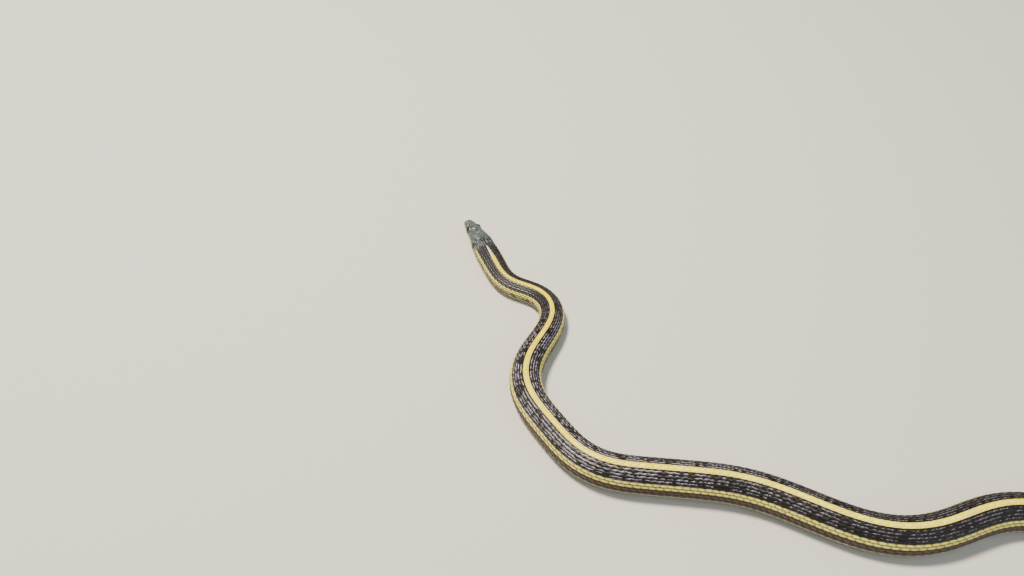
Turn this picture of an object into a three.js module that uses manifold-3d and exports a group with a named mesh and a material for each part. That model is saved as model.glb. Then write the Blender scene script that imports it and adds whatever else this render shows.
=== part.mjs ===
// A garter snake at life size, lying in loose curves with its head raised a little.
// Millimetres, +Z up. The body follows a path that runs from the snout to the tip of the tail.

import * as THREE from "three";
import Module from "manifold-3d";

const wasm = await Module();
wasm.setup();

// Lengths along the path, from the tip of the snout
const TOTAL_LENGTH = 760;
const VENT_AT = 590;
const HEAD_LENGTH = 30;
const MOUTH_LENGTH = 22.5;
const NODE_GAP = 0.3;

// The path: where it starts, which way it sets off, and its bends as [start, length, turn in degrees]
const SNOUT_X = -281.24;
const SNOUT_Y = 142.79;
const FIRST_HEADING = -64.5;
const BENDS = [
  [23.2, 28.2, -0.9], [43.7, 37.5, 54.6], [51.9, 84.0, -107.7], [118.8, 86.2, 61.8],
  [196.4, 73.1, 50.7], [277.5, 81.8, -21.6], [344.7, 117.5, 54.6], [419.1, 86.3, -42.4],
  [503, 62, -20], [566, 88, 62], [664, 84, -66],
];
const PATH_STEP = 0.25;

// The head and neck are held this far off the floor, easing down by the end of the neck
const HEAD_LIFT = 6;
const LIFT_END = 80;

// Body sections as [place, width, height over width]
const BODY_SECTIONS = [
  [30, 15.2, 0.72], [38, 16.0, 0.69], [55, 15.2, 0.71], [75, 14.9, 0.75], [100, 15.8, 0.79],
  [125, 17.2, 0.81], [150, 18.8, 0.84], [200, 19.9, 0.86], [260, 20.7, 0.88], [330, 21.0, 0.88],
  [440, 21.0, 0.88], [520, 19.4, 0.88], [570, 16.2, 0.88], [VENT_AT, 14.0, 0.88], [605, 12.6, 0.88],
  [650, 9.4, 0.88], [700, 5.8, 0.88], [740, 2.6, 0.88], [TOTAL_LENGTH, 0.9, 0.88],
];
const WIDEST_LEVEL = 0.46;
const BACK_POWER = 2.15;
const BELLY_POWER = 2.6;
const BELLY_OVERDRAW = 1.06;
const BELLY_FLAT_ANGLE = 157.9;

// Head sections as [place, half width, height above the lips, depth below them, height of the lips]
const HEAD_SECTIONS = [
  [0, 2.7, 2.4, 1.5, 3.5], [3, 3.4, 3.3, 1.9, 3.4], [6, 4.1, 4.1, 2.2, 3.45], [9, 4.7, 4.8, 2.5, 3.6],
  [11, 5.05, 5.15, 2.75, 3.7], [14, 5.45, 5.5, 3.05, 3.85], [18, 6.2, 5.75, 3.5, 4.2],
  [22, 7.0, 5.9, 4.0, 4.6], [26, 7.4, 5.95, 4.6, 4.9], [HEAD_LENGTH, 7.6, 5.91, 5.03, 5.03],
];
const CROWN_POWER = 2.7;
const CHIN_POWER = 2.2;
const SNOUT_ROUND = 2.6;
const LIP_GROOVE = 0.45;

// Eyes and nostrils, as distances back from the snout, out from the middle and above the lips
const EYE = { back: 11, out: 3.95, up: 2.85, radii: [2.0, 1.55, 1.85], gap: 0.22 };
const NOSTRIL = { back: 2.5, out: 3.0, up: 1.6, radius: 0.42 };

// Where the body is divided, each length gently bent
const LENGTHS = [
  ["neck", HEAD_LENGTH, 85], ["forebody_1", 85, 150], ["forebody_2", 150, 215],
  ["midbody_1", 215, 290], ["midbody_2", 290, 365], ["midbody_3", 365, 440],
  ["hindbody_1", 440, 515], ["hindbody_2", 515, VENT_AT], ["tail_base", VENT_AT, 675],
  ["tail_end", 675, TOTAL_LENGTH],
];
const RING_STEP = 5;

const rad = THREE.MathUtils.degToRad;
const smooth = (q) => THREE.MathUtils.smoothstep(q, 0, 1);
const signedPower = (v, p) => Math.sign(v) * Math.abs(v) ** p;

// Value of one column of a table at a place, by a cubic curve that never overshoots the knots.
function lookUp(table, place, column) {
  const last = table.length - 1;
  const x = THREE.MathUtils.clamp(place, table[0][0], table[last][0]);
  let i = 0;
  while (i < last - 1 && x > table[i + 1][0]) i += 1;
  const step = (k) => table[k + 1][0] - table[k][0];
  const slope = (k) => (table[k + 1][column] - table[k][column]) / step(k);
  const tangent = (k) => {
    if (k === 0) return slope(0);
    if (k === last) return slope(last - 1);
    const [m, n] = [slope(k - 1), slope(k)];
    if (m * n <= 0) return 0;
    const [a, b] = [2 * step(k) + step(k - 1), step(k) + 2 * step(k - 1)];
    return (a + b) / (a / m + b / n);
  };
  const h = step(i);
  const q = (x - table[i][0]) / h;
  return (1 + 2 * q) * (1 - q) ** 2 * table[i][column] + q * (1 - q) ** 2 * h * tangent(i)
    + q * q * (3 - 2 * q) * table[i + 1][column] + q * q * (q - 1) * h * tangent(i + 1);
}

// Heading of the path in radians: each bend eases in and out like a sine wave's hump.
function heading(s) {
  let degrees = FIRST_HEADING;
  for (const [start, length, turn] of BENDS) {
    const q = THREE.MathUtils.clamp((s - start) / length, 0, 1);
    degrees += turn * (q - Math.sin(2 * Math.PI * q) / (2 * Math.PI));
  }
  return rad(degrees);
}

// Points of the path at even steps, summed once.
const path = [[SNOUT_X, SNOUT_Y]];
for (let i = 0; i * PATH_STEP < TOTAL_LENGTH; i += 1) {
  const h = heading((i + 0.5) * PATH_STEP);
  const [x, y] = path[i];
  path.push([x + Math.cos(h) * PATH_STEP, y + Math.sin(h) * PATH_STEP]);
}

const lift = (s) => HEAD_LIFT * (1 - smooth(s / LIFT_END));

// A point beside the path: out is towards the animal's left, up is the height over the lift.
function place(s, out, up) {
  const h = heading(s);
  const at = THREE.MathUtils.clamp(s, 0, TOTAL_LENGTH) / PATH_STEP;
  const i = Math.min(Math.floor(at), path.length - 2);
  const q = at - i;
  const x = path[i][0] * (1 - q) + path[i + 1][0] * q;
  const y = path[i][1] * (1 - q) + path[i + 1][1] * q;
  return new THREE.Vector3(x + out * Math.sin(h), y - out * Math.cos(h), lift(s) + up);
}

// Section of the body: a loaf shape with a flat belly. Angle 0 is the back, 90 the left side.
function bodyPoint(s, degrees) {
  const width = lookUp(BODY_SECTIONS, s, 1);
  const height = width * lookUp(BODY_SECTIONS, s, 2);
  const [sin, cos] = [Math.sin(rad(degrees)), Math.cos(rad(degrees))];
  const level = WIDEST_LEVEL * height;
  const onBack = cos >= 0;
  const power = 2 / (onBack ? BACK_POWER : BELLY_POWER);
  const reach = onBack ? height - level : level * BELLY_OVERDRAW;
  const up = Math.max(0, level + reach * signedPower(cos, power));
  return place(s, width / 2 * signedPower(sin, power), up);
}

// Section of the head: a flatter crown over the line of the lips, a round chin under it.
function headPoint(s, degrees) {
  const round = Math.sqrt(Math.max(0, 1 - (1 - Math.min(s / SNOUT_ROUND, 1)) ** 2));
  const [halfWidth, above, below, lips] = [1, 2, 3, 4].map((c) => lookUp(HEAD_SECTIONS, s, c));
  const [sin, cos] = [Math.sin(rad(degrees)), Math.cos(rad(degrees))];
  const merge = smooth((s - MOUTH_LENGTH + 4) / (HEAD_LENGTH - MOUTH_LENGTH + 4));
  const mix = THREE.MathUtils.lerp;
  const onCrown = cos >= 0;
  const power = 2 / (onCrown ? mix(CROWN_POWER, BACK_POWER, merge) : mix(CHIN_POWER, BELLY_POWER, merge));
  const reach = onCrown ? above : below * mix(1, BELLY_OVERDRAW, merge);
  const up = Math.max(lips - below, lips + reach * round * signedPower(cos, power));
  return place(s, halfWidth * round * signedPower(sin, power), up);
}

// Outward normal of the head, from small steps along it and around it.
function headNormal(s, degrees) {
  const [ds, da] = [0.02, 0.5];
  const along = headPoint(s + ds, degrees).sub(headPoint(Math.max(s - ds, 0.001), degrees));
  const around = headPoint(s, degrees + da).sub(headPoint(s, degrees - da));
  return around.cross(along).normalize();
}

// A closed solid from rings of points that all have the same count, capped at both ends.
function closeRings(rings, tip) {
  const n = rings[0].length;
  const positions = rings.flat().flatMap((p) => [p.x, p.y, p.z]);
  const faces = [];
  for (let r = 0; r + 1 < rings.length; r += 1) {
    for (let k = 0; k < n; k += 1) {
      const [a, b] = [r * n + k, r * n + (k + 1) % n];
      faces.push(a, b, a + n, b, b + n, a + n);
    }
  }
  const middle = (ring) => ring.reduce((sum, p) => sum.add(p), new THREE.Vector3()).divideScalar(n);
  const [first, last] = [tip ?? middle(rings[0]), middle(rings[rings.length - 1])];
  positions.push(first.x, first.y, first.z, last.x, last.y, last.z);
  const [start, end, back] = [rings.length * n, rings.length * n + 1, (rings.length - 1) * n];
  for (let k = 0; k < n; k += 1) {
    faces.push(start, (k + 1) % n, k, end, back + k, back + (k + 1) % n);
  }
  const geometry = new THREE.BufferGeometry();
  geometry.setAttribute("position", new THREE.Float32BufferAttribute(positions, 3));
  geometry.setIndex(faces);
  return geometry;
}

// Angles around one ring, right side then left, from a list for one side.
const bothSides = (side) => [...side.map((a) => -a).reverse(), 0, ...side];

function bodyLength(from, to) {
  const side = [15, 30, 45, 60, 75, 90, 105, 120, 135, 148, BELLY_FLAT_ANGLE];
  const count = Math.ceil((to - from) / RING_STEP);
  const rings = [];
  for (let i = 0; i <= count; i += 1) {
    const s = from + (to - from) * i / count;
    rings.push(bothSides(side).map((a) => bodyPoint(s, a)));
  }
  return closeRings(rings);
}

function headSolid() {
  const side = [10, 20, 30, 40, 50, 60, 69, 77, 84, 90, 96, 103, 112, 123, 135, 148, BELLY_FLAT_ANGLE, 170];
  const stations = [0.08, 0.3, 0.65, 1.1, 1.7, 2.4];
  while (stations[stations.length - 1] < HEAD_LENGTH - 1) stations.push(stations[stations.length - 1] + 0.8);
  stations.push(HEAD_LENGTH);
  const rings = stations.map((s) => bothSides(side).concat(180).map((a) => {
    const point = headPoint(s, a);
    const groove = LIP_GROOVE * smooth((MOUTH_LENGTH - s) / 2) * Math.min(1, s / 0.3);
    return Math.abs(a) === 90 ? point.addScaledVector(headNormal(s, a), -groove) : point;
  }));
  return closeRings(rings, headPoint(0.001, 0));
}

function toManifold(geometry) {
  return new wasm.Manifold(new wasm.Mesh({
    numProp: 3,
    vertProperties: Float32Array.from(geometry.attributes.position.array),
    triVerts: Uint32Array.from(geometry.index.array),
  }));
}

function fromManifold(solid) {
  const mesh = solid.getMesh();
  const geometry = new THREE.BufferGeometry();
  geometry.setAttribute("position", new THREE.Float32BufferAttribute(mesh.vertProperties, 3));
  geometry.setIndex(Array.from(mesh.triVerts));
  return geometry;
}

const largest = (solid) => solid.decompose().reduce((a, b) => (a.volume() > b.volume() ? a : b));

// An egg shape set in the head: radii run back, out and up, grown by a margin for its socket.
function eyeball(side, margin, detail) {
  const s = EYE.back;
  const centre = place(s, side * EYE.out, lookUp(HEAD_SECTIONS, s, 4) + EYE.up);
  const geometry = new THREE.IcosahedronGeometry(1, detail);
  geometry.scale(...EYE.radii.map((r) => r + margin));
  geometry.rotateZ(heading(s));
  geometry.translate(centre.x, centre.y, centre.z);
  return welded(geometry);
}

// Shares corners between the triangles of a geometry that repeats them.
function welded(geometry) {
  const position = geometry.attributes.position;
  const [seen, points, index] = [new Map(), [], []];
  for (let i = 0; i < position.count; i += 1) {
    const p = [position.getX(i), position.getY(i), position.getZ(i)];
    const key = p.map((v) => v.toFixed(4)).join();
    if (!seen.has(key)) {
      seen.set(key, points.length / 3);
      points.push(...p);
    }
    index.push(seen.get(key));
  }
  const result = new THREE.BufferGeometry();
  result.setAttribute("position", new THREE.Float32BufferAttribute(points, 3));
  result.setIndex(index);
  return result;
}

function carvedHead() {
  let head = toManifold(headSolid());
  for (const side of [-1, 1]) {
    head = head.subtract(toManifold(eyeball(side, EYE.gap, 5)));
    const lips = lookUp(HEAD_SECTIONS, NOSTRIL.back, 4);
    const pit = place(NOSTRIL.back, side * NOSTRIL.out, lips + NOSTRIL.up);
    head = head.subtract(wasm.Manifold.sphere(NOSTRIL.radius, 12).translate([pit.x, pit.y, pit.z]));
  }
  return fromManifold(largest(head));
}

const group = new THREE.Group();

function addNode(name, geometry, colour) {
  const mesh = new THREE.Mesh(geometry, new THREE.MeshStandardMaterial({ color: colour, roughness: 0.45 }));
  mesh.name = name;
  group.add(mesh);
}

addNode("head", carvedHead(), 0x6b7268);
addNode("eye_left", eyeball(1, 0, 4), 0x1a140e);
addNode("eye_right", eyeball(-1, 0, 4), 0x1a140e);
for (const [name, from, to] of LENGTHS) {
  const end = to === TOTAL_LENGTH ? to : to - NODE_GAP / 2;
  addNode(name, bodyLength(from + NODE_GAP / 2, end), name.startsWith("tail") ? 0x4c4636 : 0x56503a);
}

export default group;
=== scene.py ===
"""The looks of a life-size garter snake lying in loose curves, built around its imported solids.

A place on the animal is (s, a): s is the distance in millimetres along the path from the tip of the
snout, and a is the angle in degrees round the body, 0 on the back, positive on the animal's left and
180 under the belly. Everything is worked out in millimetres and turned into metres as a mesh is made.
"""

import math

import bpy
import numpy as np
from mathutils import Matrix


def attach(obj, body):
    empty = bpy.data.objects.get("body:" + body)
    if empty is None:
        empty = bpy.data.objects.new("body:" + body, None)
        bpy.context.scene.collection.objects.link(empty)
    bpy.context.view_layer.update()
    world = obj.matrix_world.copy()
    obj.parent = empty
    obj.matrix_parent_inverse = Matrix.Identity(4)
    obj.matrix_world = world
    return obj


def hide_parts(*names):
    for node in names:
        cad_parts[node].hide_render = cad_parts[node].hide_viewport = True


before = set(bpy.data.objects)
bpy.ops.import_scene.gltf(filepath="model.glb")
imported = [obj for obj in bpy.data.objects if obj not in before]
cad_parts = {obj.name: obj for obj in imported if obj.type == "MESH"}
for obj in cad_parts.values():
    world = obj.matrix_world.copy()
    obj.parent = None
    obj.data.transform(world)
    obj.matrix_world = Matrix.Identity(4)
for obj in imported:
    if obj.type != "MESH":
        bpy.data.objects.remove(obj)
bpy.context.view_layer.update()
draw = np.random.default_rng(19)

# Sizes shared with the solids

TOTAL_LENGTH = 760.0
VENT_AT = 590.0
HEAD_LENGTH = 30.0
MOUTH_LENGTH = 22.5
SNOUT = (-281.24, 142.79)
FIRST_HEADING = -64.5
BENDS = [  # start, length, turn in degrees
    (23.2, 28.2, -0.9), (43.7, 37.5, 54.6), (51.9, 84.0, -107.7), (118.8, 86.2, 61.8),
    (196.4, 73.1, 50.7), (277.5, 81.8, -21.6), (344.7, 117.5, 54.6), (419.1, 86.3, -42.4),
    (503.0, 62.0, -20.0), (566.0, 88.0, 62.0), (664.0, 84.0, -66.0),
]
PATH_STEP = 0.25
HEAD_LIFT = 6.0
LIFT_END = 80.0
BODY_SECTIONS = [  # place, width, height over width
    (30, 15.2, 0.72), (38, 16.0, 0.69), (55, 15.2, 0.71), (75, 14.9, 0.75), (100, 15.8, 0.79),
    (125, 17.2, 0.81), (150, 18.8, 0.84), (200, 19.9, 0.86), (260, 20.7, 0.88), (330, 21.0, 0.88),
    (440, 21.0, 0.88), (520, 19.4, 0.88), (570, 16.2, 0.88), (VENT_AT, 14.0, 0.88), (605, 12.6, 0.88),
    (650, 9.4, 0.88), (700, 5.8, 0.88), (740, 2.6, 0.88), (TOTAL_LENGTH, 0.9, 0.88),
]
WIDEST_LEVEL, BACK_POWER, BELLY_POWER, BELLY_OVERDRAW = 0.46, 2.15, 2.6, 1.06
HEAD_SECTIONS = [  # place, half width, height above the lips, depth below them, height of the lips
    (0, 2.7, 2.4, 1.5, 3.5), (3, 3.4, 3.3, 1.9, 3.4), (6, 4.1, 4.1, 2.2, 3.45),
    (9, 4.7, 4.8, 2.5, 3.6), (11, 5.05, 5.15, 2.75, 3.7), (14, 5.45, 5.5, 3.05, 3.85),
    (18, 6.2, 5.75, 3.5, 4.2), (22, 7.0, 5.9, 4.0, 4.6), (26, 7.4, 5.95, 4.6, 4.9),
    (HEAD_LENGTH, 7.6, 5.91, 5.03, 5.03),
]
CROWN_POWER, CHIN_POWER, SNOUT_ROUND = 2.7, 2.2, 2.6
MERGE_START = MOUTH_LENGTH - 4  # from here the head's section takes on the neck's
EYE_BACK, EYE_OUT, EYE_UP, EYE_RADII = 11.0, 3.62, 2.85, (1.95, 1.55, 1.8)

# Sizes of the scaly coat

COAT_DEPTH = 0.45          # how far the bare skin lies inside the solids where the body is widest
FULL_WIDTH = 21.0
THINNEST_COAT = 0.06       # least share of that depth, at the tip of the tail
RIM_DEPTH = 1.25 * COAT_DEPTH
PLATED_SPAN = (0.01, TOTAL_LENGTH - 0.02)  # no scale or plate reaches past these places
ROW_CENTRES = np.array([0, 10.6, 21.2, 31.8, 42.4, 53.0, 63.6, 74.4, 86.2, 100.2])
ROW_HALVES = 1.3 * np.array([5.3, 5.3, 5.3, 5.3, 5.3, 5.3, 5.3, 5.5, 6.3, 7.7])
TAIL_ROWS = (560, 710, 1.1)  # the rows spread round the tail from, to, and by this share
BELLY_EDGE = 108.0
SCALE_PITCH = [  # place, distance from one scale to the next in its row
    (12, 1.9), (24, 2.3), (60, 2.7), (150, 3.5), (300, 4.05), (500, 4.0), (590, 3.2), (650, 2.6),
    (720, 2.0), (760, 1.3),
]
SCALE_OVERLAP = 1.72       # length of a scale over the pitch of its row
PLATE_OVERLAP = 1.5        # the same for the plates under belly and tail
CROWN_END = 24.6           # where the big plates of the head give way to small scales
SKIN_START, SKIN_END = 27.5, TOTAL_LENGTH - 0.6
SKIN_STEP, SKIN_SIDES = 1.2, 72
COAT_END = 765.0
COAT_LENGTHS = [  # lengths along the body, one piece each; each keeps under the limit on triangles
    ("nape", 0.0, 150.0), ("fore_back", 150.0, 300.0), ("mid_back", 300.0, 450.0),
    ("hind_back", 450.0, 600.0), ("tail_back", 600.0, COAT_END),
]
THROAT_SPAN = (0.0, 60.0)  # places that the map of the throat's scales covers
MAP_MARGIN = 0.0005

# Places of the markings, as (start, end) of a ramp along the body or in degrees off the back

BACK_STRIPE = 8.4            # half width of the pale line down the back
STRIPE_START = 32.0          # where that line starts behind the grey of the head
STRIPE_LEAST = 0.3           # share of its width there
STRIPE_WIDENS = 13.0         # length over which it widens
SIDE_STRIPE = (58.3, 79.9)   # edges of the pale line on each side
SIDE_STRIPE_STARTS = (27, 33)
BLOTCH_STEP = 2.3            # one dark blotch and the gap after it, in scales, where those keep one size
BLOTCH_ROWS_MEET = 36        # the two series of blotches meet here, half a step apart
DARK_NECK = (125, 95)
GREY_NAPE, GREY_NAPE_SIDE = (34, 28), (82, 68)


# Shapes as functions of (s, a)

def smooth(q):
    """Eases 0 to 1: q * q * (3 - 2 q) with q held between 0 and 1."""
    q = np.clip(q, 0, 1)
    return q * q * (3 - 2 * q)


def ramp(value, start, end):
    """Eases from 0 where the value is at start to 1 where it is at end, whichever comes first."""
    return smooth((value - start) / (end - start))


def bell(value, middle, width):
    """Bell curve: 1 at the middle, 1 / e a width away on each side."""
    return np.exp(-((value - middle) / width) ** 2)


def curve(table, column, at):
    """Cubic through a table's knots that never overshoots: tangents are weighted harmonic means."""
    knots = np.asarray(table, float)
    x, y = knots[:, 0], knots[:, column]
    h, slope = np.diff(x), np.diff(y) / np.diff(x)
    before, after = 2 * h[1:] + h[:-1], h[1:] + 2 * h[:-1]
    with np.errstate(divide="ignore", invalid="ignore"):
        inner = (before + after) / (before / slope[:-1] + after / slope[1:])
    inner = np.where(slope[:-1] * slope[1:] > 0, inner, 0)
    tangent = np.concatenate([slope[:1], inner, slope[-1:]])
    at = np.clip(at, x[0], x[-1])
    i = np.clip(np.searchsorted(x, at) - 1, 0, len(h) - 1)
    q = (at - x[i]) / h[i]
    return ((1 + 2 * q) * (1 - q) ** 2 * y[i] + q * (1 - q) ** 2 * h[i] * tangent[i]
            + q * q * (3 - 2 * q) * y[i + 1] + q * q * (q - 1) * h[i] * tangent[i + 1])


def heading(s):
    """Heading of the path in radians: each bend eases as q - sin(2 pi q) / (2 pi)."""
    degrees = np.full(np.shape(s), FIRST_HEADING)
    for start, length, turn in BENDS:
        q = np.clip((s - start) / length, 0, 1)
        degrees = degrees + turn * (q - np.sin(2 * np.pi * q) / (2 * np.pi))
    return np.radians(degrees)


def summed_path():
    """Points of the path at even steps: x and y are the running sums of cos and sin of the heading."""
    count = int(TOTAL_LENGTH / PATH_STEP)
    h = heading((np.arange(count) + 0.5) * PATH_STEP)
    x = SNOUT[0] + np.concatenate([[0], np.cumsum(np.cos(h))]) * PATH_STEP
    y = SNOUT[1] + np.concatenate([[0], np.cumsum(np.sin(h))]) * PATH_STEP
    return np.arange(count + 1) * PATH_STEP, x, y


PATH_S, PATH_X, PATH_Y = summed_path()


def place(s, out, up):
    """Point beside the path: out to the animal's left, and up over a lift that eases away by LIFT_END."""
    h = heading(s)
    x = np.interp(s, PATH_S, PATH_X) + out * np.sin(h)
    y = np.interp(s, PATH_S, PATH_Y) - out * np.cos(h)
    lift = HEAD_LIFT * (1 - smooth(s / LIFT_END))
    return np.stack([x, y, lift + up], -1)


def loop_power(value, power):
    """Keeps the sign of value and raises its size to 2 / power, the rule of a superellipse."""
    return np.sign(value) * np.abs(value) ** (2 / power)


def section(s, a):
    """(out, up) of the outline at (s, a): a superellipse, flat under the body.

    Its power differs above and below its widest level. Ahead of HEAD_LENGTH the head's own half width
    and heights hold, over and under the lips, with powers that ease into the body's from MERGE_START,
    and the snout rounds off as a ball does.
    """
    sin, cos = np.sin(np.radians(a)), np.cos(np.radians(a))
    above = cos >= 0
    width = curve(BODY_SECTIONS, 1, s)
    height = width * curve(BODY_SECTIONS, 2, s)
    level = WIDEST_LEVEL * height
    power = np.where(above, BACK_POWER, BELLY_POWER)
    reach = np.where(above, height - level, level * BELLY_OVERDRAW)
    body_out = width / 2 * loop_power(sin, power)
    body_up = np.maximum(0, level + reach * loop_power(cos, power))
    ball = np.sqrt(np.maximum(0, 1 - (1 - np.clip(s / SNOUT_ROUND, 0, 1)) ** 2))
    half, crown, chin, lips = (curve(HEAD_SECTIONS, column, s) for column in (1, 2, 3, 4))
    merge = ramp(s, MERGE_START, HEAD_LENGTH)
    power = np.where(above, CROWN_POWER + (BACK_POWER - CROWN_POWER) * merge,
                     CHIN_POWER + (BELLY_POWER - CHIN_POWER) * merge)
    reach = np.where(above, crown, chin * (1 + (BELLY_OVERDRAW - 1) * merge))
    head_out = half * ball * loop_power(sin, power)
    head_up = np.maximum(lips - chin, lips + reach * ball * loop_power(cos, power))
    in_head = s < HEAD_LENGTH
    return np.where(in_head, head_out, body_out), np.where(in_head, head_up, body_up)


def surface(s, a):
    """Point of the outline in space."""
    s, a = np.broadcast_arrays(np.asarray(s, float), np.asarray(a, float))
    return place(s, *section(s, a))


def raised(s, a, height):
    """Point over the outline by a height along its outward normal.

    The normal is the cross product of small steps round the body and along it.
    """
    s, a = np.broadcast_arrays(np.asarray(s, float), np.asarray(a, float))
    s_step, a_step, snout_tip = 0.06, 1.0, 0.001
    along = surface(s + s_step, a) - surface(np.maximum(s - s_step, snout_tip), a)
    around = surface(s, a + a_step) - surface(s, a - a_step)
    normal = np.cross(around, along)
    normal /= np.maximum(np.linalg.norm(normal, axis=-1, keepdims=True), 1e-9)
    return surface(s, a) + normal * np.asarray(height)[..., None]


def girth_factor(s):
    """Local width over the full width: the coat is thinner where the animal is thinner."""
    width = np.where(s < HEAD_LENGTH, 2 * curve(HEAD_SECTIONS, 1, s), curve(BODY_SECTIONS, 1, s))
    return np.clip(width / FULL_WIDTH, THINNEST_COAT, 1)


def off_back(a):
    """Degrees away from the middle of the back, either way round."""
    return np.abs((a + 180) % 360 - 180)


def small_scales_start(a):
    """Where small scales take over from the head's plates.

    That is CROWN_END in the middle of the crown, 2.2 mm sooner beside it, 1.2 mm sooner at the temples
    and 9.7 mm sooner on the throat, with ramps between.
    """
    side = off_back(a)
    beside_crown, temples, throat = ramp(side, 12, 42), ramp(side, 72, 88), ramp(side, 112, 142)
    return CROWN_END - 2.2 * beside_crown + 1.0 * temples - 8.5 * throat


def tail_spread(s):
    """How far the rows spread round the tail, where there are fewer: 1, and a ramp by TAIL_ROWS on top."""
    start, end, share = TAIL_ROWS
    return 1 + share * ramp(s, start, end)


# Colour layers, the same on skin and scales

def across_edge(side, edge):
    """Eases from 0 to 1 over the one degree round an edge, so that an edge is crisp but not jagged."""
    return ramp(side, edge - 0.5, edge + 0.5)


def markings(s, a):
    """Layers of the markings at (s, a), each a share from 0 to 1 but for three.

    stripe is the half width of the line down the back, which the materials hold against side, the
    degrees off the back, and place is s. Blotches follow a sine wave along the body, which a ramp holds
    at 1 for nearly two thirds of a step.
    """
    side = off_back(a)
    least, start = STRIPE_LEAST, STRIPE_START
    stripe = BACK_STRIPE * (least + (1 - least) * ramp(s, start, start + STRIPE_WIDENS))
    stripe = stripe * tail_spread(s) ** 0.6 * ramp(s, start, start + 2) - ramp(s, start, start - 2)
    low, high = SIDE_STRIPE
    past_low, past_high, past_belly = (across_edge(side, edge) for edge in (low, high, BELLY_EDGE))
    steps = s / (BLOTCH_STEP * curve(SCALE_PITCH, 1, s))
    wave = np.sin(2 * np.pi * steps) * np.where(side < BLOTCH_ROWS_MEET, 1, -1)
    return {
        "place": s, "side": side, "stripe": stripe, "belly": past_belly,
        "flank": past_low * (1 - past_high) * ramp(s, *SIDE_STRIPE_STARTS),
        "lower": past_high * (1 - past_belly),
        "dark": np.maximum(ramp(wave, -1.4, -0.4), ramp(s, *DARK_NECK)),
        "nape": ramp(s, *GREY_NAPE) * ramp(side, *GREY_NAPE_SIDE),
    }


def detail_layers(layers, kind):
    """Flecks, dark rims, warm tinge and belly spots, from the markings and each plate's own shape.

    Flecks lie along both edges of a scale, where pale skin shows beside it, in the bands between back
    stripe and side stripe, strongest from 135 to 310 mm. Rims follow a scale's outline on the sides, the
    nape and, faintly, the back stripe. Spots are round bells near both ends of a belly plate. Bare skin
    has flecks and rims over its whole width. The warm tinge lies beside the back stripe on the neck.
    """
    s, side, nape = layers["place"], layers["side"], layers["nape"]
    on_side = np.clip(layers["flank"] + layers["lower"], 0, 1)
    in_band = ramp(side, BACK_STRIPE, BACK_STRIPE + 1) * (1 - np.clip(on_side + layers["belly"], 0, 1))
    strength = 0.15 + 0.85 * ramp(s, 85, 135) - 0.55 * ramp(s, 310, 400)
    fleck, rim, spot = 0.8 * in_band * strength, 0.85 * on_side + 0.6 * nape, np.zeros_like(s)
    if kind != "skin":
        across, down, chance = np.abs(layers["across"]), layers["down"], layers["chance"]
    if kind == "scale":
        along_edges = ramp(across, 0.62, 0.82) * ramp(down, 0.18, 0.26) * ramp(down, 0.66, 0.56)
        fleck = along_edges * ramp(chance, 0.25, 0.30) * in_band * strength
        edge = np.maximum(ramp(across, 0.55, 0.85), ramp(down, 0.36, 0.26))
        edge = np.maximum(edge, ramp(down, 0.88, 0.96))
        on_stripe = ramp(side, BACK_STRIPE + 0.5, BACK_STRIPE - 0.5) * (0.12 + 0.4 * ramp(s, 85, 60))
        rim = edge * (0.85 * on_side + on_stripe + 0.7 * nape)
    if kind == "belly":
        fleck, rim = np.zeros_like(s), np.zeros_like(s)
        spot = bell(side, 118, 5) * bell(down, 0.5, 0.18) * ramp(chance, 0.2, 0.3)
    warm = ramp(side, 7, 10) * ramp(side, 30, 18) * ramp(s, 90, 60)
    return {**layers, "fleck": fleck, "rim": np.clip(rim, 0, 1), "warm": warm, "belly_spot": spot}


# Meshes

def make_mesh(name, points, quads, triangles, layers, uv, rounded=None):
    """Mesh object in metres from numpy arrays, with a float attribute per layer and an OFBake map."""
    mesh = bpy.data.meshes.new(name)
    loops = np.concatenate([quads.ravel(), triangles.ravel()])
    sizes = np.repeat([4, 3], [len(quads), len(triangles)])
    mesh.vertices.add(len(points))
    mesh.vertices.foreach_set("co", (points / 1000).astype(np.float32).ravel())
    mesh.loops.add(len(loops))
    mesh.loops.foreach_set("vertex_index", loops.astype(np.int32))
    mesh.polygons.add(len(sizes))
    starts = np.concatenate([[0], np.cumsum(sizes)[:-1]])
    mesh.polygons.foreach_set("loop_start", starts.astype(np.int32))
    mesh.polygons.foreach_set("use_smooth", np.ones(len(sizes), bool) if rounded is None else rounded)
    mesh.update(calc_edges=True)
    for key, values in layers.items():
        attribute = mesh.attributes.new(key, "FLOAT", "POINT")
        attribute.data.foreach_set("value", np.asarray(values, np.float32).ravel())
    bake_map = mesh.uv_layers.new(name="OFBake")
    bake_map.data.foreach_set("uv", uv[loops].astype(np.float32).ravel())
    mesh.validate()
    piece = bpy.data.objects.new(name, mesh)
    bpy.context.scene.collection.objects.link(piece)
    return piece


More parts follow.
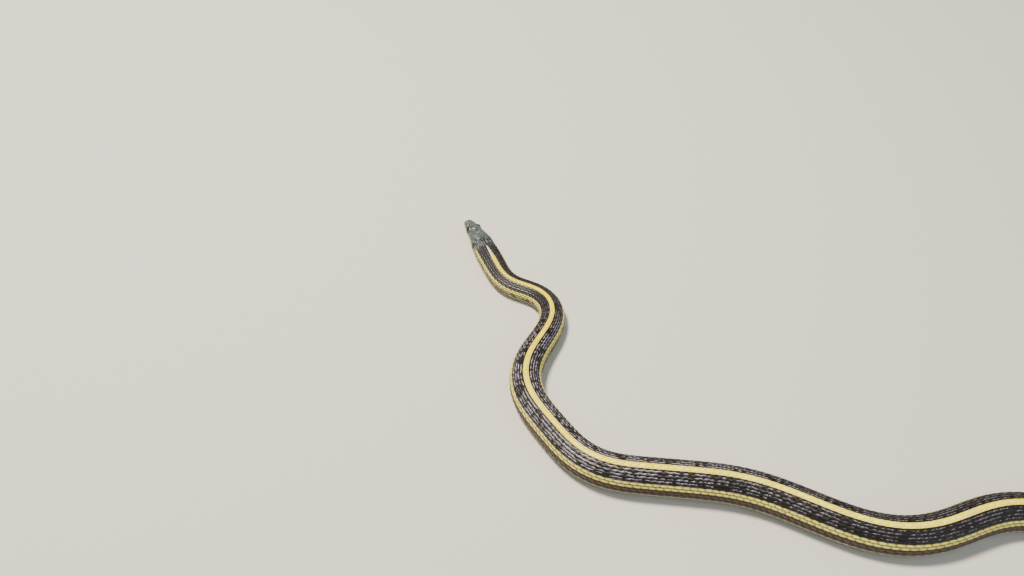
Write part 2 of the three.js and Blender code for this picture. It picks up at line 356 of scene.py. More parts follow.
def closed_tube(name, points, layers, uv, mirrored=False):
    """A closed tube from a grid of rings, with each end drawn together on the middle of its ring."""
    rings, sides = points.shape[:2]
    ring, k = np.meshgrid(np.arange(rings - 1) * sides, np.arange(sides), indexing="ij")
    following = (k + 1) % sides
    quads = np.stack([ring + k, ring + following, ring + following + sides, ring + k + sides], -1)
    quads = quads.reshape(-1, 4)
    k, following = k[0], following[0]
    last_ring, first_middle = (rings - 1) * sides, rings * sides
    front = np.stack([np.full(sides, first_middle), following, k], -1)
    rear = np.stack([np.full(sides, first_middle + 1), last_ring + k, last_ring + following], -1)
    triangles = np.concatenate([front, rear])
    if mirrored:
        quads, triangles = quads[:, ::-1], triangles[:, ::-1]
    points = np.concatenate([points.reshape(-1, 3), points[[0, -1]].mean(1)])
    layers = {key: np.append(values, np.ravel(values)[[0, -1]]) for key, values in layers.items()}
    uv = np.concatenate([uv.reshape(-1, 2), [[0, 0.5], [1, 0.5]]])
    return make_mesh(name, points, quads, triangles, layers, uv)


def plate_faces(rows, columns):
    """Faces of one closed plate: quads of its top, quads of its sides and floor, triangles of its ends.

    Its points are numbered row by row over the top and then in pairs along the rim below it.
    """
    grid = np.arange(rows * columns).reshape(rows, columns)
    low = rows * columns + np.arange(rows * 2).reshape(rows, 2)
    top = np.stack([grid[:-1, :-1], grid[:-1, 1:], grid[1:, 1:], grid[1:, :-1]], -1).reshape(-1, 4)
    left = np.stack([grid[:-1, 0], grid[1:, 0], low[1:, 0], low[:-1, 0]], -1)
    right = np.stack([grid[:-1, -1], low[:-1, 1], low[1:, 1], grid[1:, -1]], -1)
    floor = np.stack([low[:-1, 0], low[1:, 0], low[1:, 1], low[:-1, 1]], -1)
    ends = []
    for row, turn in ((0, 1), (rows - 1, -1)):
        rim = np.concatenate([grid[row], low[row, ::-1]])
        fan = np.stack([np.full(len(rim) - 2, rim[0]), rim[2:], rim[1:-1]], -1)
        ends.append(fan[:, ::turn])
    return top, np.concatenate([left, right, floor]), np.concatenate(ends)


def plate_sheets(name, plates, style, span):
    """Closed overlapping plates, all at once, from their places, angles, lengths and half widths.

    Each plate runs from its root at q = 0 to its free tip at q = 1, and from v = -1 to 1 across.
    Its half width follows style's outline(q), its height style's profile(q, v) times girth_factor,
    measured from the outline of the solids, and its rim drops below the bare skin. In the OFBake map
    each has a cell of its own at its place on the unrolled skin, where span covers the whole width.
    """
    count, rows, columns = plates.shape[1], len(style["q"]), len(style["v"])
    root, middle, length, half = plates[:, :, None, None]
    q, v = style["q"][:, None], style["v"][None, :]
    s = np.clip(root + (q - 0.5) * length, *PLATED_SPAN)
    s, a = np.broadcast_arrays(s, middle + style["outline"](q) * half * v)
    edges = [0, columns - 1]
    top = raised(s, a, style["profile"](q, v) * girth_factor(root))
    low = raised(s[..., edges], a[..., edges], -RIM_DEPTH * girth_factor(root))
    points = np.concatenate([top.reshape(count, -1, 3), low.reshape(count, -1, 3)], 1)

    def over_plate(values):
        """Values in the order of a plate's points: over the top, then along the rim below it."""
        values = np.broadcast_to(values, (count, rows, columns))
        return np.concatenate([values.reshape(count, -1), values[..., edges].reshape(count, -1)], 1)

    s, a, down, across = over_plate(s), over_plate(a), over_plate(q), over_plate(v)
    root, middle, length, half = plates[:, :, None]
    layers = markings(s, a)
    # Flank, lower side, belly and nape keep one value on a scale, and the other layers run across scales.
    by_plate = markings(s, np.broadcast_to(middle, s.shape))
    layers.update({key: by_plate[key] for key in ("flank", "lower", "belly", "nape")})
    layers["chance"] = np.broadcast_to(draw.random(count)[:, None], s.shape)
    layers["across"], layers["down"] = across, down
    start, end = span
    cell_length, cell_width = style["cell"]
    u = (root - start + (down - 0.5) * cell_length * length / SCALE_OVERLAP) / (end - start)
    v = (middle + style["map_turn"]) % 360 / 360 + across * cell_width * half / 360
    uv = np.clip(np.stack([u, v], -1), MAP_MARGIN, 1 - MAP_MARGIN)
    top_faces, side_faces, end_faces = plate_faces(rows, columns)
    first_point = (np.arange(count) * points.shape[1])[:, None, None]
    quads = (np.concatenate([top_faces, side_faces]) + first_point).reshape(-1, 4)
    triangles = (end_faces + first_point).reshape(-1, 3)
    on_top = np.repeat([True, False], [len(top_faces), len(side_faces)])
    rounded = np.concatenate([np.tile(on_top, count), np.zeros(len(triangles), bool)])
    return make_mesh(name, points.reshape(-1, 3), quads, triangles, detail_layers(layers, style["kind"]),
                     uv.reshape(-1, 2), rounded)


# Scales and plates, with heights in millimetres over the solids where the body is widest

def lance_outline(q):
    """Outline of a keeled scale: a quarter sine from root to widest, then a blunted cosine to the tip."""
    root_width, widest_at, tip_width = 0.6, 0.4, 0.07
    front = root_width + (1 - root_width) * np.sin(np.pi / 2 * np.clip(q / widest_at, 0, 1))
    back = np.cos(np.pi / 2 * np.clip((q - widest_at) / (1 - widest_at), 0, 1) ** 1.25) ** 0.75
    return np.where(q < widest_at, front, tip_width + (1 - tip_width) * back)


def plate_outline(q):
    """Outline of a belly plate: full width, drawn in by 6% at its hind rim."""
    return 1 - 0.06 * ramp(q, 0.7, 1)


def keeled_height(q, v):
    """Height of a keeled scale: sunk at the root, level at the tip, domed, with a ridge down it."""
    slope = -0.40 + 0.36 * ramp(q, 0, 0.85)
    dome = 0.10 * (1 - v ** 2) - 0.05
    keel = 0.13 * bell(v, 0, 0.16) * ramp(q, 0, 0.25) * ramp(q, 1.02, 0.82)
    return slope + dome + keel


def plate_height(q, v):
    """Height of a plate under the belly: nearly level, its hind rim a little proud, its ends lower."""
    return -0.30 + 0.24 * ramp(q, 0, 0.9) - 0.05 * v ** 8


def throat_height(q, v):
    """Height of a smooth scale of the throat: sunk at the root and gently domed."""
    return -0.36 + 0.32 * ramp(q, 0, 0.85) + 0.06 * (1 - v ** 2)


KEELED = {
    "kind": "scale", "outline": lance_outline, "profile": keeled_height,
    "cell": (0.855, 0.855), "map_turn": 180,
    "q": np.array([0.0, 0.14, 0.28, 0.42, 0.56, 0.7, 0.82, 0.92, 1.0]),
    "v": np.array([-1.0, -0.8, -0.45, -0.16, 0.0, 0.16, 0.45, 0.8, 1.0]),
}
THROAT = {**KEELED, "profile": throat_height, "map_turn": 0}
BELLY = {
    "kind": "belly", "outline": plate_outline, "profile": plate_height,
    "cell": (0.855, 0.882), "map_turn": 0,
    "q": np.array([0.0, 0.2, 0.45, 0.7, 0.88, 1.0]),
    "v": np.sin(np.linspace(-np.pi / 2, np.pi / 2, 25)),
}


def pitch(s):
    """Distance from one scale to the next in a row at s."""
    return curve(SCALE_PITCH, 1, s)


def pitch_places(offset):
    """Places along the body one pitch apart, shifted by a share of a pitch.

    The count of pitches up to s is the running sum of steps over the local pitch.
    """
    s = np.linspace(SCALE_PITCH[0][0], SKIN_END, 6000)
    counted = np.concatenate([[0], np.cumsum(np.diff(s) / pitch((s[1:] + s[:-1]) / 2))])
    wanted = np.arange(0, int(counted[-1])) + offset
    return np.interp(wanted[wanted < counted[-1]], counted, s)


def dorsal_rows():
    """Places, angles, lengths and half widths of every scale of the back and sides.

    Rows lie half a pitch off their neighbours. Scales are a little narrower from 130 to 250 mm, where
    the body is fullest and skin shows between them, and each is off its place and length by chance.
    """
    last_row = len(ROW_CENTRES) - 1
    over_belly = 0.4  # share of its half width by which a scale may reach past the belly's edge
    off_place, shortest, longest, narrowing = 0.03, 0.97, 1.03, 0.12
    found = []
    for row in range(-last_row, last_row + 1):
        s = pitch_places(0.5 if row % 2 else 0.0)
        a = np.sign(row) * ROW_CENTRES[abs(row)] * tail_spread(s)
        half = ROW_HALVES[abs(row)] * tail_spread(s)
        keep = (s > small_scales_start(a)) & (np.abs(a) + over_belly * half < BELLY_EDGE)
        s, a, half = s[keep], a[keep], half[keep]
        s = s + draw.normal(0, off_place, len(s)) * pitch(s)
        length = SCALE_OVERLAP * pitch(s) * draw.uniform(shortest, longest, len(s))
        narrowed = 1 - narrowing * ramp(s, 90, 130) * ramp(s, 330, 250)
        found.append(np.stack([s, a, length, half * narrowed]))
    return np.concatenate(found, 1)


def belly_rows():
    """One wide plate per pitch under the body, and pairs of plates half a pitch apart under the tail.

    Each reaches a little under the lowest scales, and the two of a pair overlap in the middle.
    """
    first, last, under_scales, overlap = 27, TOTAL_LENGTH - 2, 2, 1.5
    s = pitch_places(0.25)
    body, tail = s[(s > first) & (s < VENT_AT)], s[s >= VENT_AT]
    reach = 180 - BELLY_EDGE
    found = [np.stack([body, np.full(len(body), 180.0), PLATE_OVERLAP * pitch(body),
                       np.full(len(body), reach + under_scales)])]
    for side, shift in ((-1, 0.5), (1, 0.0)):
        s = tail + shift * pitch(tail)
        s = s[s < last]
        found.append(np.stack([s, np.full(len(s), 180.0 - side * reach / 2), PLATE_OVERLAP * pitch(s),
                               np.full(len(s), reach / 2 + overlap)]))
    return np.concatenate(found, 1)


def throat_rows():
    """Small smooth scales of the throat, between the chin plates and the first belly plate."""
    first, last, step, length, half = 15.0, 29.0, 1.9, 3.2, 6.6
    found = []
    for row, a in enumerate((115.0, 128.0, 141.0, 154.0, 167.0, 180.0)):
        for side in ((-1, 1) if a < 180 else (1,)):
            s = np.arange(first, last, step) + (step / 2 if row % 2 else 0.0)
            s = s[s > small_scales_start(a)]
            found.append(np.stack([s, *(np.full(len(s), value) for value in (side * a, length, half))]))
    return np.concatenate(found, 1)


def build_coat():
    """The scaly coat: back and sides in lengths, the plates of the belly, the scales of the throat."""
    rows = dorsal_rows()
    pieces = []
    for name, start, end in COAT_LENGTHS:
        here = (rows[0] >= start) & (rows[0] < end)
        pieces.append(plate_sheets(f"scales_{name}", rows[:, here], KEELED, (start, end)))
    pieces.append(plate_sheets("belly_plates", belly_rows(), BELLY, (0.0, COAT_END)))
    pieces.append(plate_sheets("throat_scales", throat_rows(), THROAT, THROAT_SPAN))
    return pieces


def build_skin():
    """The bare skin from the nape to the tip of the tail, inside the solids by the coat's depth."""
    s = np.append(np.arange(SKIN_START, TOTAL_LENGTH - 1, SKIN_STEP), SKIN_END)
    s, a = np.meshgrid(s, np.linspace(0, 360, SKIN_SIDES, endpoint=False), indexing="ij")
    points = raised(s, a, -COAT_DEPTH * girth_factor(s))
    uv = np.stack([s / TOTAL_LENGTH, a / 360], -1)
    return closed_tube("bare_skin", points, detail_layers(markings(s, a), "skin"), uv)


# The head

CROWN_SEAMS = [  # edges of the big plates on top, as (place, distance round from the middle line)
    [(1.1, 0), (6.8, 0)], [(14.6, 0), (24.4, 0)],
    [(0.9, 0), (1.2, 1.2), (1.9, 2.1), (2.6, 2.9)], [(3.9, 0), (3.7, 1.5), (4.2, 2.9)],
    [(1.9, 2.1), (4.2, 2.9), (6.0, 3.4), (8.0, 3.9)], [(6.8, 0), (7.2, 1.75), (8.0, 3.9)],
    [(7.2, 1.75), (12.9, 2.0)], [(14.6, 0), (12.9, 2.0), (13.6, 3.5), (13.4, 4.7)],
    [(13.4, 4.7), (15.5, 5.3), (19.0, 5.8), (22.4, 4.7), (24.3, 2.2), (24.6, 0)],
]
UPPER_LIP = [  # upper edge of the plates along the upper lip, as (place, distance below the lips)
    (0.8, -0.9), (3.0, -1.0), (6.0, -1.35), (9.0, -1.2), (11.0, -0.95), (13.2, -1.35), (16.0, -1.9),
    (19.0, -2.2), (21.8, -2.2), (23.2, -1.0),
]
SIDE_SEAMS = [  # edges of the other plates on the cheek and chin, given in the same way
    [(4.3, -1.15), (4.5, -2.9)], [(6.6, -1.35), (6.8, -3.0)], [(8.8, -1.2), (8.6, -3.6)],
    [(13.5, -1.5), (13.9, -3.0), (13.5, -4.6)],
    [(13.2, -2.7), (13.9, -2.8)], [(13.9, -3.2), (17.5, -3.4), (21.8, -3.6)], [(17.5, -2.1), (17.7, -3.9)],
    [(1.0, 1.0), (3.0, 1.5), (8.0, 1.75), (14.0, 1.9), (20.0, 2.1), (23.0, 1.2)],
    [(3.0, 1.5), (3.1, 3.4), (8.2, 3.9), (14.2, 4.1), (14.4, 6.5)], [(8.2, 1.8), (8.3, 6.5)],
    [(3.1, 3.4), (3.0, 6.5)],
]
UPPER_LIP_BARS = [2.5, 4.4, 6.5, 8.8, 11.6, 14.8, 18.0, 21.2]
LOWER_LIP_BARS = [1.9, 3.9, 6.0, 8.3, 10.9, 13.8, 16.9, 20.0]
BAR_SLANT, LOWER_LIP_DEPTH = 0.3, 1.75
NOSTRIL_BACK, NOSTRIL_UP, NOSTRIL_RADIUS = 2.5, 1.6, 0.42
CROWN_SPOT = (18.6, 0.42)  # the pair of pale dots, given as the crown's seams are
HEAD_RINGS_END, HEAD_STEP, HEAD_SIDES = 31.5, 0.135, 336
NOSE_RINGS, NOSE_FIRST = 30, 0.07
RELIEF = {"mouth": -0.36, "pit": -0.5, "rim": 0.06, "socket": -0.7, "brow": 0.10}


def seam_distance(x, y, seams):
    """Distance in millimetres from each (x, y) to the nearest of several broken lines."""
    nearest = np.full(x.shape, 99.0)
    for line in seams:
        for (x0, y0), (x1, y1) in zip(line[:-1], line[1:]):
            squared = (x1 - x0) ** 2 + (y1 - y0) ** 2
            t = np.clip(((x - x0) * (x1 - x0) + (y - y0) * (y1 - y0)) / squared, 0, 1)
            nearest = np.minimum(nearest, np.hypot(x - x0 - t * (x1 - x0), y - y0 - t * (y1 - y0)))
    return nearest


def head_grid():
    """Points at even steps round each ring of the head.

    Returns their places, their angles, the length round the ring from the middle of the crown and, for
    each ring, that length at the lips. Lengths are running sums over quarters of a degree.
    """
    nose = SNOUT_ROUND * (1 - np.cos(np.linspace(NOSE_FIRST, np.pi / 2, NOSE_RINGS, endpoint=False)))
    s = np.concatenate([nose, np.arange(SNOUT_ROUND, HEAD_RINGS_END, HEAD_STEP)])
    per_degree = 4
    fine = np.linspace(-180, 180, 360 * per_degree + 1)
    crown, lips = 180 * per_degree, 270 * per_degree
    out, up = section(s[:, None], fine[None])
    steps = np.hypot(np.diff(out, axis=1), np.diff(up, axis=1))
    length = np.concatenate([np.zeros((len(s), 1)), np.cumsum(steps, 1)], 1)
    share = np.linspace(0, 1, HEAD_SIDES, endpoint=False)
    a = np.stack([np.interp(share * ring[-1], ring, fine) for ring in length])
    round_ring = np.stack([share * ring[-1] - ring[crown] for ring in length])
    return np.broadcast_to(s[:, None], a.shape), a, round_ring, (length[:, lips] - length[:, crown])[:, None]


def lip_bars(s, bars):
    """Share of the dark bar just ahead of each seam between lip plates: a bell curve 0.24 mm wide."""
    nearest = np.min(np.abs(s[..., None] + 0.1 - np.array(bars)), -1)
    return bell(nearest, 0, 0.24)


def lip_plate_edges():
    """The seams between the plates of the upper lip, slanting back, and of the lower lip, upright."""
    upper = [[(at, 0), (at + BAR_SLANT, np.interp(at + BAR_SLANT, *np.transpose(UPPER_LIP)))]
             for at in UPPER_LIP_BARS]
    return upper + [[(at, 0), (at, LOWER_LIP_DEPTH)] for at in LOWER_LIP_BARS]


def head_relief_and_layers():
    """Places, angles, relief in millimetres and colour layers over the head's grid.

    Seams are grooves of a bell's section between plates that swell away from them. The nostril, the eye
    socket and the brow follow the distance from their middle over their radius, and the mouth is a
    groove at the height of the lips. Behind the plates the skin sinks to carry the small scales.
    """
    s, a, round_ring, lips = head_grid()
    off_middle = np.abs(round_ring)
    below = off_middle - lips
    out, up = section(s, a)
    over_lips = up - curve(HEAD_SECTIONS, 4, s)
    on_side = ramp(np.abs(out), 2.6, 3.2)
    seams = np.minimum(seam_distance(s, off_middle, CROWN_SEAMS),
                       seam_distance(s, below, SIDE_SEAMS + [UPPER_LIP] + lip_plate_edges()))
    eye = np.hypot((s - EYE_BACK) / EYE_RADII[0], (over_lips - EYE_UP) / EYE_RADII[2])
    nostril = np.hypot(s - NOSTRIL_BACK, over_lips - NOSTRIL_UP) / NOSTRIL_RADIUS
    behind = s - small_scales_start(a)
    small = ramp(behind, 0, 0.6)
    plated = (1 - small) * (1 - on_side * ramp(eye, 1.16, 1.0))
    forms = {
        "mouth": bell(over_lips, 0, 0.17) * ramp(s, MOUTH_LENGTH, MOUTH_LENGTH - 1.5),
        "pit": bell(nostril, 0, 1.2 ** -0.5) * on_side,
        "rim": bell(nostril, 1.35, 0.3) * on_side,
        "socket": ramp(eye, 0.98, 0.86) * on_side,
        "brow": bell(eye, 1.14, 0.16) * on_side * (1 + 1.6 * ramp(over_lips, EYE_UP + 0.3, EYE_UP + 1.5)),
    }
    relief = (0.05 * smooth(seams / 0.7) - 0.17 * bell(seams, 0, 0.15)) * plated
    relief = relief + sum(RELIEF[key] * share for key, share in forms.items())
    relief = relief - 0.06 - 0.15 * ramp(behind, 0, 0.5) - 0.21 * ramp(behind, 0.6, 2.6)
    lip_top = np.interp(s, *np.transpose(UPPER_LIP))
    blend = 0.2 + 0.45 * ramp(s, 1.6, 0)
    lip = ramp(below, 2.1, 1.85) * smooth((below - lip_top) / blend + 0.3) * ramp(s, 25, 23)
    layers = {
        **detail_layers(markings(s, a), "skin"), "lip": lip, "small": small,
        "crown": smooth((lip_top - below) / blend + 0.5),
        "bar": np.maximum(lip_bars(s + 0.25 * below, UPPER_LIP_BARS) * (below < 0.1),
                          lip_bars(s, LOWER_LIP_BARS) * (below > -0.1) * 0.5),
        "seam": bell(seams, 0, 0.13) * plated,
        # Painted shade: the mouth's groove, the nostril pits and the eye sockets are darkened.
        "hollow_shade": np.clip(forms["mouth"] + forms["pit"] + 0.8 * forms["socket"], 0, 1),
        "spot": bell(np.hypot(s - CROWN_SPOT[0], off_middle - CROWN_SPOT[1]), 0, 0.3),
    }
    return s, a, relief, layers


def build_head():
    """The head's skin with its plates, lips, nostrils and eye sockets as relief along its normals."""
    s, a, relief, layers = head_relief_and_layers()
    around = np.broadcast_to(np.arange(HEAD_SIDES) / HEAD_SIDES, s.shape)
    uv = np.stack([s / HEAD_RINGS_END, around], -1)
    return closed_tube("head_skin", raised(s, a, relief), layers, uv)


def build_eye(side):
    """An eye as an ellipsoid whose poles face sideways, sheared as its socket is by the neck's lift.

    Its layer is the angle in degrees from the gaze, which leads a little forward and up.
    """
    turns, rings, pole = 56, 40, 0.01
    theta, phi = np.meshgrid(np.linspace(pole, np.pi - pole, rings),
                             np.linspace(0, 2 * np.pi, turns, endpoint=False), indexing="ij")
    unit = np.stack([np.sin(theta) * np.cos(phi), np.cos(theta), np.sin(theta) * np.sin(phi)], -1)
    back, out, up = (unit[..., axis] * EYE_RADII[axis] for axis in range(3))
    lips = curve(HEAD_SECTIONS, 4, np.array([EYE_BACK]))[0]
    points = place(EYE_BACK + back, side * (EYE_OUT + out), lips + EYE_UP + up)
    gaze = np.array([-0.16, 1.0, 0.06])
    angle = np.degrees(np.arccos(np.clip(unit @ gaze / np.linalg.norm(gaze), -1, 1)))
    uv = np.stack([theta / np.pi, phi / (2 * np.pi)], -1)
    name = "eye_left_ball" if side > 0 else "eye_right_ball"
    return closed_tube(name, points, {"gaze": angle}, uv, mirrored=side > 0)


# Materials

def linear(code):
    """Linear RGBA of an sRGB hex colour: ((c + 0.055) / 1.055) ** 2.4 above 0.04045."""
    channels = [int(code[i:i + 2], 16) / 255 for i in (1, 3, 5)]
    return [c / 12.92 if c <= 0.04045 else ((c + 0.055) / 1.055) ** 2.4 for c in channels] + [1.0]


CREAM, GOLD, PALE = linear("#fff15c"), linear("#fbe31c"), linear("#efefe6")
SIDE_YELLOW, SIDE_DARK, LOW_OLIVE = linear("#faf178"), linear("#544b2c"), linear("#b3a95c")
BROWN, BLACK, LOW_BROWN = linear("#281f16"), linear("#090807"), linear("#472f20")
OLIVE, RUFOUS, FLECK = linear("#1e1a14"), linear("#5a3a1c"), linear("#c0b8ca")
BELLY_PALE, BELLY_DARK = linear("#b4b99a"), linear("#34342c")
HEAD_DARK, HEAD_GREY, LIP_PALE = linear("#262b29"), linear("#5f6a6a"), linear("#cfceaa")
IRIS_BROWN, IRIS_COPPER, IRIS_RIM = linear("#3a2210"), linear("#7c5426"), linear("#120c08")
IRIS_RING, PUPIL = linear("#c9a862"), linear("#020202")
BODY_LAYERS = ("place", "side", "stripe", "flank", "lower", "belly", "dark", "nape", "fleck", "rim",
               "warm", "belly_spot")
BODY_NOISE = {"broad": (38, 3), "patches": (7, 3), "speckle": (3.2, 2), "fine": (0.9, 4)}


def node(tree, kind, sockets=None, output=0, **settings):
    """Adds a node with its settings, sets or links its inputs, and returns one of its outputs."""
    added = tree.nodes.new(kind)
    for key, value in settings.items():
        setattr(added, key, value)
    for key, value in (sockets or {}).items():
        if isinstance(value, bpy.types.NodeSocket):
            tree.links.new(value, added.inputs[key])
        else:
            added.inputs[key].default_value = value
    return added.outputs[output] if len(added.outputs) else None


def start_material(name, noise, layers=()):
    """A new material, and by name its noise, given as (size in millimetres, detail), and its layers."""
    material = bpy.data.materials.new(name)
    material.use_nodes = True
    tree = material.node_tree
    tree.nodes.clear()
    where = node(tree, "ShaderNodeTexCoord", output=3)
    values = {key: node(tree, "ShaderNodeTexNoise",
                        {"Vector": where, "Scale": 1000 / size, "Detail": detail})
              for key, (size, detail) in noise.items()}
    for key in layers:
        values[key] = node(tree, "ShaderNodeAttribute", output=2, attribute_name=key)
    return material, tree, values


def painted(tree, base, *coats):
    """Lays coats of colour over a base, one after another.

    A coat is (colour, value, start, end, most). Its share rises from 0 where the value is at start to
    most where it is at end, and the result is base + share * (colour - base).
    """
    for colour, value, start, end, most in coats:
        share = node(tree, "ShaderNodeMapRange", {0: value, 1: start, 2: end, 3: 0.0, 4: most}, clamp=True)
        base = node(tree, "ShaderNodeMix", {0: share, 6: base, 7: colour}, output=2, data_type="RGBA")
    return base


def finish_material(material, colour, roughness, height, bump_mm, coat=0.0, strength=0.6, ior=1.5):
    """Joins colour, roughness, gloss and a bump of some millimetres into the material's surface."""
    tree = material.node_tree
    bump = node(tree, "ShaderNodeBump",
                {"Strength": strength, "Distance": bump_mm / 1000, "Height": height})
    shader = node(tree, "ShaderNodeBsdfPrincipled", {
        "Base Color": colour, "Roughness": roughness, "Normal": bump, "IOR": ior,
        "Coat Weight": coat, "Coat Roughness": 0.2})
    node(tree, "ShaderNodeOutputMaterial", {"Surface": shader})
    return material


def striped_colour(tree, value):
    """Colour of the body from its layers, varied by noise and, where there is chance, by scale."""
    chance = value.get("chance", value["fine"])
    where, broad = value["place"], value["broad"]
    grey = painted(tree, HEAD_DARK, (HEAD_GREY, chance, 0.2, 0.9, 1))
    low = painted(tree, LOW_OLIVE, (SIDE_DARK, chance, 0.3, 0.7, 1), (LOW_BROWN, where, 115, 190, 1))
    flank = painted(tree, SIDE_YELLOW, (LOW_OLIVE, chance, 0.3, 1.6, 1))
    yellow = painted(tree, GOLD, (CREAM, where, 90, 260, 1), (GOLD, broad, 0.5, 0.8, 1),
                     (PALE, where, 44, 34, 1))
    belly = painted(tree, BELLY_PALE, (BELLY_DARK, value["belly_spot"], 0, 1, 1))
    in_stripe = node(tree, "ShaderNodeMath", {0: value["stripe"], 1: value["side"]}, operation="SUBTRACT")
    colour = painted(
        tree, OLIVE,
        (BROWN, value["patches"], 0.3, 0.7, 1),
        (RUFOUS, broad, 0.42, 0.62, value["warm"]),
        (BLACK, value["dark"], 0, 1, 0.88),
        (FLECK, value["speckle"], 0.34, 0.52, value["fleck"]),
        (grey, value["nape"], 0, 1, 1),
        (low, value["lower"], 0, 1, 1),
        (flank, value["flank"], 0, 1, 1),
        (yellow, in_stripe, -0.2, 0.2, 1),
        (belly, value["belly"], 0, 1, 1),
        (BLACK, value["rim"], 0, 1, 1),
    )
    shade = node(tree, "ShaderNodeMath", {0: chance, 1: 0.22, 2: 0.89}, operation="MULTIPLY_ADD")
    return node(tree, "ShaderNodeVectorMath", {0: colour, "Scale": shade}, operation="SCALE")


def scale_material():
    """Keratin, grown as keeled scales."""
    # It gives the eye a dry satin sheen that breaks along each keel. The grain is drawn at 0.25 mm, far
    # coarser than the real one, so that it shows. Keratin's index is near 1.54 and is set lower here, so
    # that the dark bands stay dark under a wide soft light.
    material, tree, value = start_material(
        "keeled_scales", {**BODY_NOISE, "grain": (0.25, 2)}, (*BODY_LAYERS, "chance"))
    colour = striped_colour(tree, value)
    roughness = node(tree, "ShaderNodeMath", {0: value["grain"], 1: 0.18, 2: 0.30},
                     operation="MULTIPLY_ADD")
    return finish_material(material, colour, roughness, value["grain"], 0.02, coat=0.04, ior=1.42)


def skin_material():
    """Thin elastic skin, folded between the scales."""
    # It gives the eye a duller line round each scale, as it is softer and has no hard outer layer.
    material, tree, value = start_material(
        "skin_between_scales", {**BODY_NOISE, "folds": (0.3, 3)}, BODY_LAYERS)
    return finish_material(material, striped_colour(tree, value), 0.6, value["folds"], 0.05)


def head_material():
    """Keratin, grown as large smooth plates: grey crown, pale lips with dark bars, cream throat."""
    # Plates without keels give the eye a smoother, waxier shine than the body's scales, and darker lines
    # where they meet.
    material, tree, value = start_material(
        "head_plates", {**BODY_NOISE, "mottle": (1.7, 5), "grain": (0.5, 4)},
        (*BODY_LAYERS, "crown", "spot", "bar", "lip", "small", "seam", "hollow_shade"))
    crown = painted(tree, HEAD_DARK, (HEAD_GREY, value["mottle"], 0.25, 0.72, 1),
                    (LIP_PALE, value["spot"], 0, 1, 1))
    lips = painted(tree, LIP_PALE, (BLACK, value["bar"], 0, 1, 0.85))
    colour = painted(
        tree, BELLY_PALE,
        (LIP_PALE, value["grain"], 0.3, 0.9, 1),
        (crown, value["crown"], 0, 1, 1),
        (lips, value["lip"], 0, 1, 1),
        (striped_colour(tree, value), value["small"], 0, 1, 1),
        (BLACK, value["seam"], 0, 1, 0.72),
        # Painted shade: the mouth's groove, the nostrils and the eye sockets go nearly black.
        (BLACK, value["hollow_shade"], 0, 1, 0.92),
    )
    roughness = node(tree, "ShaderNodeMath", {0: value["grain"], 1: 0.2, 2: 0.22},
                     operation="MULTIPLY_ADD")
    return finish_material(material, colour, roughness, value["grain"], 0.03, coat=0.3)


def eye_material():
    """A clear fixed scale, grown over the eye: round pupil, pale ring, coppery iris, dark rim."""
    # It gives the eye a sharp wet glint over a deep iris. Its index is set low, as the dark pupil has to
    # show through the reflection of the whole pale sky.
    material, tree, value = start_material("eye_under_clear_scale", {"streaks": (0.35, 4)}, ("gaze",))
    gaze = value["gaze"]
    iris = painted(tree, IRIS_BROWN, (IRIS_COPPER, value["streaks"], 0.35, 0.7, 1),
                   (IRIS_RIM, gaze, 40, 56, 1))
    ring = painted(tree, IRIS_RING, (iris, gaze, 28.5, 32, 1))
    colour = painted(tree, PUPIL, (ring, gaze, 26, 27, 1))
    return finish_material(material, colour, 0.08, value["streaks"], 0.005, coat=0.12, strength=0.1, ior=1.2)


# The animal

FLESH = ["neck", "forebody_1", "forebody_2", "midbody_1", "midbody_2", "midbody_3", "hindbody_1",
         "hindbody_2", "tail_base", "tail_end"]


def dress(piece, material, slot, *nodes):
    """Gives a piece its material and its body, and hides the nodes that it stands for. Its slot is not used.
    """
    piece.data.materials.append(material)
    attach(piece, "root")
    if nodes:
        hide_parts(*nodes)


dress(build_head(), head_material(), "head_scales", "head")
dress(build_skin(), skin_material(), "body_scales", *FLESH)
scales = scale_material()
for coat in build_coat():
    dress(coat, scales, "body_scales")
eyes = eye_material()
for side, node_name in ((1, "eye_left"), (-1, "eye_right")):
    dress(build_eye(side), eyes, "eyes", node_name)


# Floor, light and camera, in metres and watts

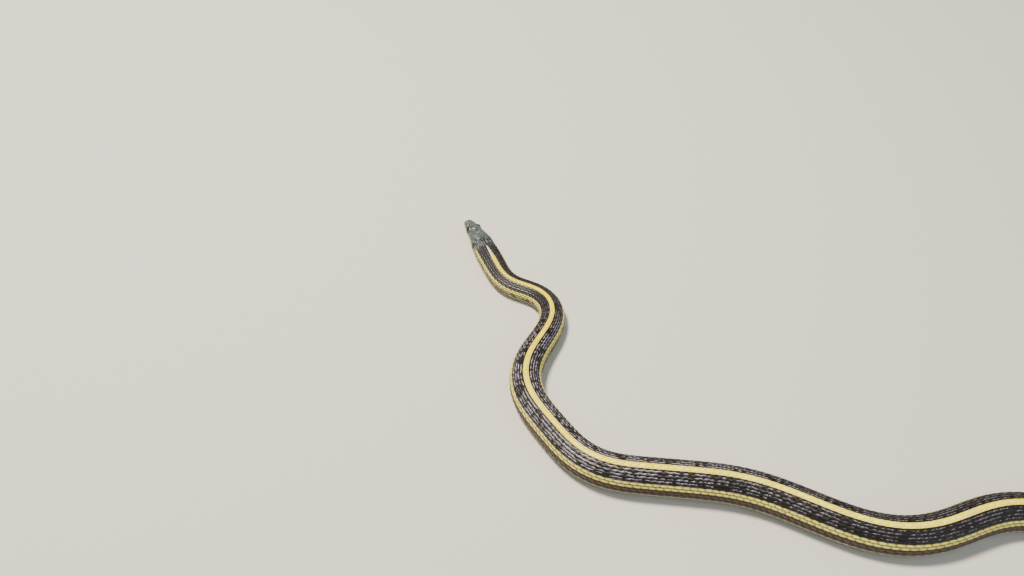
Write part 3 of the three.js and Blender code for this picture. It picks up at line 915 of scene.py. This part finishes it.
FLOOR_SIZE = 20
KEY_PLACE, KEY_POWER, KEY_SIZE = (-0.75, 0.35, 1.5), 60, 0.35
FILL_PLACE, FILL_POWER, FILL_SIZE = (0.9, -0.9, 1.3), 9, 1.6
SKY_STRENGTH = 0.42
CAMERA_PLACE = (-0.25074, -0.40621, 0.513)
CAMERA_PITCH, CAMERA_FIELD = 46.0, 50.0  # degrees down, and degrees across the picture
SENSOR_WIDTH = 36  # millimetres


def build_floor():
    """A plain pale floor, far wider than the animal."""
    bpy.ops.mesh.primitive_plane_add(size=FLOOR_SIZE, location=(0, 0, 0))
    floor = bpy.context.object
    floor.name = "floor"
    # Matt card: it gives the eye a soft shadow and no shine.
    material, _, value = start_material("pale_floor", {"waves": (60, 2)})
    floor.data.materials.append(
        finish_material(material, linear("#cfccc4"), 0.9, value["waves"], 0.02, strength=0.1))


def add_light(name, where, power, size, colour):
    """A square area light at a place, turned to face the middle of the animal."""
    light = bpy.data.lights.new(name, "AREA")
    light.energy, light.size, light.color = power, size, linear(colour)[:3]
    lamp = bpy.data.objects.new(name, light)
    lamp.location = where
    x, y, z = where
    lamp.rotation_euler = (math.acos(z / math.hypot(x, y, z)), 0, math.atan2(x, -y))
    bpy.context.scene.collection.objects.link(lamp)


def add_sky():
    """An even pale sky all round."""
    world = bpy.data.worlds.new("soft_sky")
    world.use_nodes = True
    colour, strength = world.node_tree.nodes["Background"].inputs[:2]
    colour.default_value, strength.default_value = linear("#e9eef5"), SKY_STRENGTH
    bpy.context.scene.world = world


def add_camera():
    """The photo's camera: its focal length is half the sensor over the tangent of half the field."""
    lens = bpy.data.cameras.new("camera")
    lens.sensor_width = SENSOR_WIDTH
    lens.lens = SENSOR_WIDTH / 2 / math.tan(math.radians(CAMERA_FIELD / 2))
    camera = bpy.data.objects.new("camera", lens)
    camera.location = CAMERA_PLACE
    camera.rotation_euler = (math.radians(90 - CAMERA_PITCH), 0, 0)
    bpy.context.scene.collection.objects.link(camera)
    bpy.context.scene.camera = camera


build_floor()
add_light("key", KEY_PLACE, KEY_POWER, KEY_SIZE, "#fff3e0")
add_light("fill", FILL_PLACE, FILL_POWER, FILL_SIZE, "#e8f0ff")
add_sky()
add_camera()
